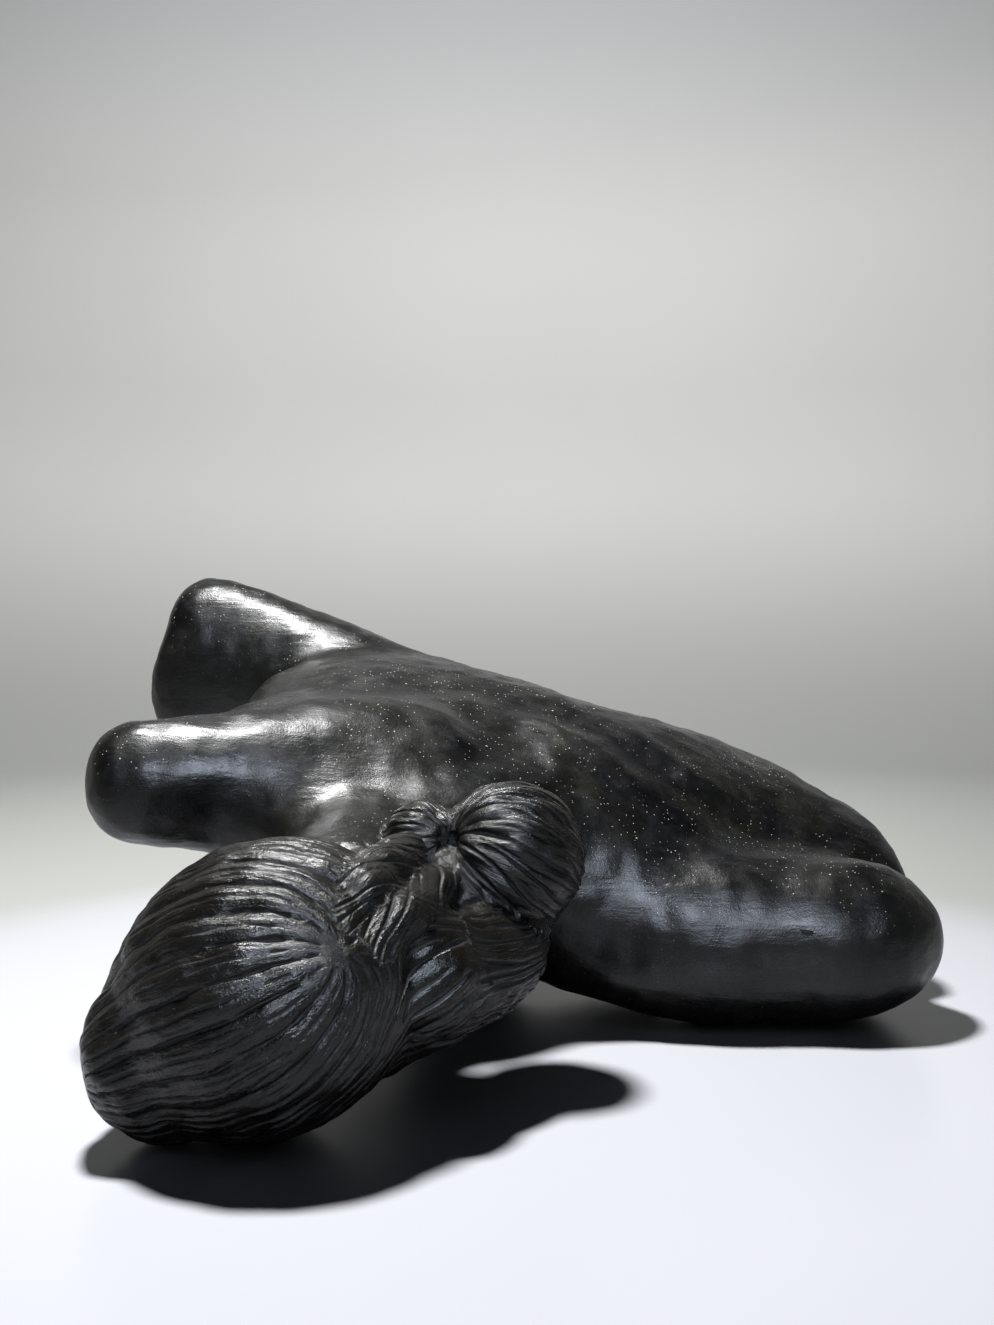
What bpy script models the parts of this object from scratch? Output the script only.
"""A woman's head and torso in black burnished ceramic, lying on its front.

The figure lies along X, with her raised arm stumps at -X and her hips at +X. Z is up. Her back is turned up and
towards -Y, and her head is thrown back over her near shoulder, so that it rests in front of the chest on the
side of its crown. The object is one fired body, so it is one solid: masses are modelled apart, melted into one
skin, carved, and cut flat where they bear. "Near" and "far" are towards -Y and towards +Y.
"""

import math

import bmesh
import bpy
import numpy as np
from mathutils import Matrix, Vector
from mathutils.kdtree import KDTree

# The driving size is the length over all. The pose, the proportions and the carving are shares of it, written
# in thousandths of a metre at the real length. One such step is worth MM metres.
LENGTH = 0.43
MODELLED_LENGTH = 430.0
MM = LENGTH / MODELLED_LENGTH

# The clay skin: the grid that melts the masses, and how far each stage is rubbed down.
BODY_GRID = 4.0
HEAD_GRID = 1.6
SKIN_GRID = 1.6
BODY_RUBS = 30
HEAD_RUBS = 4
SKIN_RUBS = 3
TRIANGLES = 9800

# Depth of clay ground away under each bearing, so that the figure rests flat. A bearing is the middle of its
# patch, how far the clay around it gives, and the limits of X and Y in which it is the lowest.
BEARING_DEPTH = 1.2
BEARINGS = [
    ((-105, -165), 90, (-160, -215), (-60, -110)),
    ((-12, 36), 50, (-50, 0), (28, 72)),
    ((125, -5), 130, (60, -60), (200, 60)),
]

# Torso from the collar to the seat: centre, half width across the back, half thickness, and how far the far
# side is rolled up, in degrees.
TORSO = [
    ((-112, 62, 140), 66, 32, 14),
    ((-80, 60, 134), 92, 42, 15),
    ((-42, 54, 118), 103, 51, 18),
    ((0, 47, 99), 99, 58, 22),
    ((45, 42, 84), 93, 59, 27),
    ((90, 40, 76), 91, 48, 34),
    ((130, 42, 63), 86, 37, 37),
    ((165, 38, 51), 70, 34, 40),
    ((190, 37, 47), 58, 30, 42),
]
TORSO_MASSES = [
    ("near_shoulder", (-100, 8, 124), (58, 52, 38)),
    ("near_collar", (-62, -6, 112), (60, 50, 40)),
    ("near_nape", (-30, -28, 88), (48, 44, 43)),
    ("near_armpit", (-88, -22, 107), (66, 48, 32)),
    ("shoulder_web", (-30, 4, 103), (46, 40, 45)),
    ("near_ribs", (-10, -2, 88), (64, 47, 46)),
    ("near_flank", (52, 5, 58), (66, 47, 49)),
    ("near_hip", (112, -9, 43), (92, 44, 43.5)),
    ("near_seat", (163, -9, 42), (60, 47, 42)),
    ("far_seat", (153, 74, 66), (57, 45, 45)),
    ("belly", (70, 36, 48), (72, 54, 44)),
    ("chest", (-24, 72, 80), (64, 72, 40)),
    ("near_breast", (-12, 36, 48), (46, 43, 49)),
    ("far_breast", (-16, 104, 72), (52, 46, 46)),
    ("far_ribs", (6, 108, 96), (78, 42, 42)),
]

# Limbs from the root to the cut end, in the same terms. Across is level and the thickness is upright.
NEAR_ARM = [
    ((-40, 14, 118), 50, 42, 0),
    ((-85, -8, 124), 44, 38, 0),
    ((-125, -30, 123), 35, 33, 0),
    ((-165, -44, 122.5), 29, 31, 0),
]
FAR_ARM = [
    ((-10, 112, 124), 42, 42, 0),
    ((-70, 128, 143), 40, 44, 0),
    ((-125, 140, 161), 36, 48, 0),
    ((-172, 147, 175), 33, 50, 0),
]
NECK = [
    ((-45, 12, 104), 42, 40, 0),
    ((-58, -48, 87), 38, 36, 0),
    ((-70, -102, 74), 38, 35, 0),
]

# The head's own place and axes. The face looks away from the viewer and the crown lies towards them.
HEAD_CENTRE = (-95, -150, 57)
FACE_WAY = (-0.842, 0.423, -0.339)
CROWN_WAY = (-0.27, -0.87, -0.41)

# Hair is wound into a bun beside a smaller coil.
PUFF = ((-129, -172, 33), (26, 33, 28))
BUN = ((6, -97, 96), 32)
SMALL_COIL = ((-32, -97, 104), 17)
DIMPLE = (-19, -112, 106)
UPPER_TWIST = [
    ((-60, -195, 79), 5, 5, 0),
    ((-53, -176, 94), 10, 10, 0),
    ((-45, -152, 100), 11, 11, 0),
    ((-37, -124, 102), 9, 9, 0),
]
LOWER_TWIST = [
    ((-54, -194, 75), 4, 4, 0),
    ((-41, -176, 84), 9, 9, 0),
    ((-31, -152, 88), 10, 10, 0),
    ((-24, -128, 90), 8, 8, 0),
]
# The strands start at the face and at the puff over the forehead, and run to three places: the twist behind the
# crown, the lock swept under the bun, and the small coil. A place is a direction off the head's centre, with its
# share of the locks.
PUFF_WAY = (-0.80, -0.45, -0.40)
PUFF_SHARE = 2
GATHERS = [((0.53, -0.77, 0.343), 3), ((0.97, 0.15, 0.05), 4), ((0.728, 0.263, 0.633), 2)]
LOCKS_TO_A_SHARE = 3
BUN_RIBS = 18
LOCK_DEPTH = 1.8
HAIR_RISE = 1.0
SWEPT_LOCK = [
    ((-55, -150, 50), 30, 32, 0),
    ((-25, -141, 56), 25, 27, 0),
    ((0, -121, 59), 19, 22, 0),
    ((9, -110, 66), 13, 16, 0),
    ((14, -104, 80), 10, 12, 0),
]


# Strokes of the tool on the finished skin: a path, how deep it presses, and its half width.
STROKES = [
    ([(-10, 44, 157), (40, 30, 146), (75, 18, 125), (108, 12, 102), (130, 14, 90)], 3.0, 9),
    ([(113, 2, 98)], 4.0, 16),
    ([(24, 22, 150), (58, 0, 126), (88, -10, 106)], -2.0, 8),
    ([(71, 32, 136), (90, 24, 126), (106, 18, 112)], -2.0, 7),
    ([(130, -26, 78), (150, -20, 80), (172, -4, 81), (190, 12, 79)], 2.0, 9),
    ([(184, 4, 80), (200, 18, 72), (216, 22, 55), (218, 24, 35)], 7.0, 8),
    ([(-28, 37, 163), (-2, 29, 155), (23, 11, 141)], 1.5, 8),
    ([DIMPLE], 6.0, 5),
]
# The same on the head, as places towards the face, the right ear and the crown. They are made on both sides.
HEAD_STROKES = [
    ([(55, 16, 1), (52, 23, -1)], 3.5, 7),
    ([(55, 10, -4), (56.5, 18, -7), (52, 27, -4)], 1.2, 1.6),
    ([(63, 0, -38), (60, 7, -38), (55, 12, -38.5)], 1.8, 1.7),
    ([(58, 0, -48.5), (55, 8, -47)], 1.4, 3),
]


def array(values):
    return np.array(values, float)


def unit(vector):
    vector = array(vector)
    return vector / np.linalg.norm(vector)


def mesh_object(name, points, faces):
    """An object from points in modelling steps and faces as lists of point numbers."""
    mesh = bpy.data.meshes.new(name)
    mesh.from_pydata([tuple(p * MM) for p in points], [], faces)
    mesh.update()
    made = bpy.data.objects.new(name, mesh)
    bpy.context.scene.collection.objects.link(made)
    return made


def ellipsoid(name, centre, radii, axes=None):
    """An ellipsoid whose three radii lie along the three axes, X, Y and Z unless others are given."""
    bpy.ops.mesh.primitive_uv_sphere_add(segments=36, ring_count=24, radius=1)
    made = bpy.context.object
    made.name = name
    turn = Matrix.Identity(3) if axes is None else Matrix(axes).transposed()
    size = Matrix.Diagonal(Vector([r * MM for r in radii]))
    made.data.transform((turn @ size).to_4x4())
    made.data.transform(Matrix.Translation(Vector(centre) * MM))
    return made


def smooth_between(rows, samples):
    """A smooth curve of rows of numbers through the given rows, as a Catmull-Rom spline."""
    rows = [array(r) for r in rows]
    padded = [2 * rows[0] - rows[1], *rows, 2 * rows[-1] - rows[-2]]
    made = []
    for i in range(len(rows) - 1):
        a, b, c, d = padded[i : i + 4]
        for t in np.arange(samples) / samples:
            made.append(
                0.5 * (2 * b + (c - a) * t + (2 * a - 5 * b + 4 * c - d) * t * t + (3 * b - a - 3 * c + d) * t**3)
            )
    return array([*made, rows[-1]])


def loft(name, stations, start_cap, end_cap, start_power=2.0, end_power=2.0, around=40, squareness=1.0):
    """A closed skin over elliptical sections. A cap of length c is rounded as a superellipse of that power."""
    rows = smooth_between([(*centre, wide, deep, roll) for centre, wide, deep, roll in stations], 8)
    centres = rows[:, :3]
    along = np.gradient(centres, axis=0)
    along /= np.linalg.norm(along, axis=1)[:, None]

    def ring(centre, forward, wide, deep, roll):
        up = array((0, -math.sin(math.radians(roll)), math.cos(math.radians(roll))))
        deep_way = unit(up - forward * (up @ forward))
        wide_way = np.cross(deep_way, forward)
        turn = np.arange(around) * 2 * math.pi / around
        c, s = np.cos(turn), np.sin(turn)
        c, s = np.sign(c) * np.abs(c) ** squareness, np.sign(s) * np.abs(s) ** squareness
        return centre + np.outer(c * wide, wide_way) + np.outer(s * deep, deep_way)

    def cap(row, forward, length, power):
        steps = np.sin(np.linspace(0, math.pi / 2, 9))[1:-1]
        return [
            ring(row[:3] + forward * length * s, forward, *(row[3:5] * (1 - s**power) ** (1 / power)), row[5])
            for s in steps
        ]

    rings = [ring(r[:3], f, r[3], r[4], r[5]) for r, f in zip(rows, along)]
    before = cap(rows[0], -along[0], start_cap, start_power)
    after = cap(rows[-1], along[-1], end_cap, end_power)
    # The first cap looks backwards, so its rings are turned to run the same way round as the rest.
    before = [r[(around // 2 - np.arange(around)) % around] for r in before]
    rings = [*reversed(before), *rings, *after]
    points = [p for r in rings for p in r]
    faces = [
        (i * around + j, i * around + (j + 1) % around, (i + 1) * around + (j + 1) % around, (i + 1) * around + j)
        for i in range(len(rings) - 1)
        for j in range(around)
    ]
    for pole, first in ((rows[0, :3] - along[0] * start_cap, 0), (rows[-1, :3] + along[-1] * end_cap, len(rings) - 1)):
        points.append(pole)
        for j in range(around):
            faces.append((len(points) - 1, first * around + j, first * around + (j + 1) % around))
    made = mesh_object(name, points, faces)
    face_outwards(made.data)
    return made


def face_outwards(mesh):
    editing = bmesh.new()
    editing.from_mesh(mesh)
    bmesh.ops.recalc_face_normals(editing, faces=editing.faces)
    editing.to_mesh(mesh)
    editing.free()


def melt(name, masses, grid, rubs):
    """One skin over overlapping masses: a voxel remesh, then smoothing that rounds the creases between them."""
    bpy.ops.object.select_all(action="DESELECT")
    for mass in masses:
        mass.select_set(True)
    bpy.context.view_layer.objects.active = masses[0]
    bpy.ops.object.join()
    joined = bpy.context.object
    joined.name = name
    remesh = joined.modifiers.new("one_skin", "REMESH")
    remesh.mode = "VOXEL"
    remesh.voxel_size = grid * MM
    rub = joined.modifiers.new("rub_down", "SMOOTH")
    rub.factor = 0.5
    rub.iterations = rubs
    return settle(joined)


def settle(made):
    """The object with its modifiers worked into its mesh."""
    graph = bpy.context.evaluated_depsgraph_get()
    mesh = bpy.data.meshes.new_from_object(made.evaluated_get(graph))
    made.modifiers.clear()
    made.data = mesh
    return made


def points_of(made):
    """(points, normals) of a mesh object, in modelling steps."""
    count = len(made.data.vertices)
    points, normals = np.empty(count * 3), np.empty(count * 3)
    made.data.vertices.foreach_get("co", points)
    made.data.vertices.foreach_get("normal", normals)
    return points.reshape(-1, 3) / MM, normals.reshape(-1, 3)


def move_points(made, points):
    made.data.vertices.foreach_set("co", (points * MM).astype(np.float32).ravel())
    made.data.update()


def distance_to(path, points):
    """Each point's distance to the smooth curve through a path's points."""
    line = smooth_between(path, 10) if len(path) > 1 else array(path)
    tree = KDTree(len(line))
    for i, p in enumerate(line):
        tree.insert(p, i)
    tree.balance()
    return array([tree.find(p)[2] for p in points])


def stroke(points, normals, path, depth, width):
    """Presses a soft groove into the clay along a path, or raises a ridge where the depth is negative."""
    near = distance_to(path, points)
    return points - normals * (depth * np.exp(-((near / width) ** 2)))[:, None]


def smoothstep(low, high, value):
    t = np.clip((value - low) / (high - low), 0, 1)
    return t * t * (3 - 2 * t)


def head_axes():
    face = array(unit(FACE_WAY))
    crown = unit(array(CROWN_WAY) - face * (array(CROWN_WAY) @ face))
    return array([face, np.cross(face, crown), crown])


def from_head(points):
    """Points as distances from the head's centre towards the face, the right ear and the crown."""
    return (points - array(HEAD_CENTRE)) @ head_axes().T


def on_head(forward, right, up):
    """A place on the head, in modelling steps from its centre towards the face, the right ear and the crown."""
    return array(HEAD_CENTRE) + array((forward, right, up)) @ head_axes()


def head_mass(name, place, radii):
    return ellipsoid(name, on_head(*place), radii, [tuple(a) for a in head_axes()])


def torso():
    """The trunk, with the seat, the belly and the breasts that carry it."""
    return [loft("trunk", TORSO, 26, 30), *[ellipsoid(*m) for m in TORSO_MASSES]]


def arms_and_neck():
    """Both limbs and the neck. The far stump is cut on a slant, so its lower edge runs further out."""
    return [
        loft("near_arm", NEAR_ARM, 20, 29, end_power=2.6),
        loft("far_arm", FAR_ARM, 20, 30, end_power=4.2),
        ellipsoid("far_stump_heel", (-178, 146, 151), (32, 29, 34)),
        loft("neck", NECK, 20, 20),
    ]


def head():
    """Skull, jaw and the main forms of the face, each a place on the head and its radii on the head's axes."""
    middle = [
        ("forehead", (15, 0, 22), (42, 40, 34)),
        ("face", (11, 0, -20), (42, 36, 46)),
        ("jaw", (24, 0, -42), (28, 28, 22)),
        ("mouth", (45, 0, -38), (13, 18, 14)),
        ("chin", (46, 0, -56), (11, 13, 10)),
        ("nose_root", (53, 0, 0), (6, 4.2, 9)),
        ("nose_back", (57, 0, -10), (6.5, 4.6, 8)),
        ("nose_front", (61, 0, -18), (7, 5.2, 7)),
        ("nose_tip", (63, 0, -23.5), (6.5, 6, 5.5)),
        ("upper_lip", (57, 0, -35.5), (6, 12.5, 3.6)),
        ("lower_lip", (56.5, 0, -42), (6, 10.5, 4.2)),
    ]
    pairs = [
        ("brow", (48.5, 16, 11), (7, 14, 5)),
        ("closed_eye", (45, 18, -2), (10.5, 11.5, 8.5)),
        ("cheek", (32, 20, -15), (16, 15, 20)),
        ("nostril", (57.5, 6.5, -25.5), (6, 3.8, 4.2)),
    ]
    masses = [head_mass(*m) for m in middle]
    for name, (f, r, u), radii in pairs:
        masses += [head_mass(name, (f, side * r, u), radii) for side in (-1, 1)]
    return masses


def hair():
    axes = [tuple(a) for a in head_axes()]
    return [
        head_mass("hair_cap", (-8, 0, 6), (62, 54, 61)),
        ellipsoid("hair_puff", *PUFF, axes),
        ellipsoid("bun", BUN[0], (BUN[1], BUN[1] - 1, BUN[1] + 1)),
        ellipsoid("small_coil", SMALL_COIL[0], (SMALL_COIL[1],) * 3),
        ellipsoid("nape_hair", (-50, -120, 80), (26, 24, 24)),
        ellipsoid("bun_root", (-17, -108, 77), (25, 23, 25)),
        ellipsoid("drawn_band", (-36, -150, 60), (34, 30, 28)),
        loft("swept_lock", SWEPT_LOCK, 10, 10),
        loft("upper_twist", UPPER_TWIST, 6, 6),
        loft("lower_twist", LOWER_TWIST, 6, 6),
    ]


def on_map(away):
    """Directions off the head's centre as complex numbers, on a flat map with the face at infinity."""
    face, right, crown = head_axes()
    away = away / np.linalg.norm(away, axis=-1, keepdims=True)
    return (away @ right + 1j * (away @ crown)) / np.maximum(1 - away @ face, 1e-6)


def strand_turn(points):
    """An angle that stays the same along each strand of the drawn-back hair and steps from strand to strand."""
    place = on_map(points - array(HEAD_CENTRE))
    turn = PUFF_SHARE * np.angle(place - on_map(array(PUFF_WAY)))
    for way, share in GATHERS:
        turn -= share * np.angle(place - on_map(array(way)))
    return turn


def gathered(points):
    """1 on the open scalp, falling to 0 at the places where the strands meet."""
    away = points - array(HEAD_CENTRE)
    open_scalp = np.ones(len(points))
    for way, _ in [(PUFF_WAY, 0), *GATHERS]:
        way = unit(way)
        beside = np.linalg.norm(away - np.outer(away @ way, way), axis=1)
        open_scalp *= np.where(away @ way > 0, smoothstep(4, 22, beside), 1)
    return open_scalp


def turn_about(points, centre, pole):
    """The angle of each point about the line through a centre along a pole."""
    pole = unit(pole)
    side = unit(np.cross(pole, (0.3, 0.2, 0.9)))
    away = points - array(centre)
    return np.arctan2(away @ np.cross(pole, side), away @ side)


def grooves(angle, count):
    """Rounded locks with narrow grooves between them: 0 on a lock, 1 in the bottom of a groove."""
    return (0.5 + 0.5 * np.cos(angle * count)) ** 3


def hair_cover(points):
    """How much each point is hair: 1 on the scalp and bun, 0 on the face, the neck and the body."""
    forward, right, up = from_head(points).T
    scalp = smoothstep(0, 8, 26 + 0.75 * np.clip(up - 8, 0, 40) - forward)
    scalp *= smoothstep(92, 84, np.linalg.norm(points - array(HEAD_CENTRE), axis=1))
    scalp *= smoothstep(-54, -46, up + 0.5 * np.clip(-forward, 0, 40))
    along = array([c for c, *_ in SWEPT_LOCK])
    swept = smoothstep(30, 24, np.min(np.linalg.norm(points[:, None] - along[None], axis=2), axis=1))
    puff = smoothstep(38, 33, np.linalg.norm(points - array(PUFF[0]), axis=1)) * smoothstep(22, 26, up)
    coils = [smoothstep(r + 7, r + 4, np.linalg.norm(points - array(c), axis=1)) for c, r in (BUN, SMALL_COIL)]
    return np.max([scalp, swept, puff, *coils], axis=0)


def carve(made):
    """Works the back, the seat and the locks of hair into the skin."""
    points, normals = points_of(made)
    for path, depth, width in STROKES:
        points = stroke(points, normals, path, depth, width)
    for path, depth, width in HEAD_STROKES:
        for side in (1, -1):
            placed = [on_head(f, side * r, u) for f, r, u in path]
            share = 0.5 if path[0][1] == 0 else 1.0
            points = stroke(points, normals, placed, depth * share, width)
    drawn = grooves(strand_turn(points), LOCKS_TO_A_SHARE) * gathered(points)
    pole = array(DIMPLE) - array(BUN[0])
    wound = grooves(turn_about(points, BUN[0], pole), BUN_RIBS)
    bun = smoothstep(BUN[1] + 6, BUN[1] + 3, np.linalg.norm(points - array(BUN[0]), axis=1))
    cut = (drawn * (1 - bun) + wound * bun) * LOCK_DEPTH
    depth = hair_cover(points) * (cut - HAIR_RISE)
    move_points(made, points - normals * depth[:, None])


def lowest(points, low, high):
    """The lowest level of the skin within limits of X and Y."""
    inside = np.all((points[:, :2] > low) & (points[:, :2] < high), axis=1)
    return points[inside, 2].min()


def level_bearings(made):
    """Bends the skin a little so that each bearing runs the same depth under the plane it rests on."""
    points, _ = points_of(made)
    push = np.zeros(len(points))
    for centre, reach, low, high in BEARINGS:
        drop = lowest(points, low, high) + BEARING_DEPTH
        near = np.linalg.norm(points[:, :2] - array(centre), axis=1)
        push += drop * smoothstep(reach, 0, near) * smoothstep(90, 10, points[:, 2])
    points[:, 2] -= push
    move_points(made, points)


def cut_bearings(made):
    """Cuts the skin flat at the plane it rests on and closes the cuts."""
    editing = bmesh.new()
    editing.from_mesh(made.data)
    floor = Vector((0, 0, 0))
    whole = editing.verts[:] + editing.edges[:] + editing.faces[:]
    bmesh.ops.bisect_plane(editing, geom=whole, plane_co=floor, plane_no=Vector((0, 0, 1)), clear_inner=True)
    rims = [e for e in editing.edges if e.is_boundary]
    bmesh.ops.holes_fill(editing, edges=rims, sides=0)
    bmesh.ops.triangulate(editing, faces=editing.faces[:])
    bmesh.ops.recalc_face_normals(editing, faces=editing.faces)
    editing.to_mesh(made.data)
    editing.free()


def stand_on_origin(made):
    """Moves the figure so that the origin is under the middle of its box, and returns the move in metres."""
    corners = array([v.co for v in made.data.vertices])
    low, high = corners.min(axis=0), corners.max(axis=0)
    move = Vector((-(low[0] + high[0]) / 2, -(low[1] + high[1]) / 2, -low[2]))
    made.data.transform(Matrix.Translation(move))
    return move


def clay():
    made = bpy.data.materials.new("black_burnished_ceramic")
    made.use_nodes = True
    shader = made.node_tree.nodes["Principled BSDF"]
    shader.inputs["Base Color"].default_value = (0.03, 0.03, 0.028, 1)
    shader.inputs["Roughness"].default_value = 0.35
    return made


def main():
    for old in list(bpy.data.objects):
        bpy.data.objects.remove(old)
    body = melt("body", torso() + arms_and_neck(), BODY_GRID, BODY_RUBS)
    face = melt("face", head(), HEAD_GRID, HEAD_RUBS)
    figure = melt("figure", [body, face, *hair()], SKIN_GRID, SKIN_RUBS)
    carve(figure)
    level_bearings(figure)
    few = figure.modifiers.new("fewer", "DECIMATE")
    few.ratio = min(1.0, TRIANGLES / (2 * len(figure.data.polygons)))
    settle(figure)
    cut_bearings(figure)
    figure.data.materials.append(clay())
    return stand_on_origin(figure)


if __name__ == "__main__":
    main()
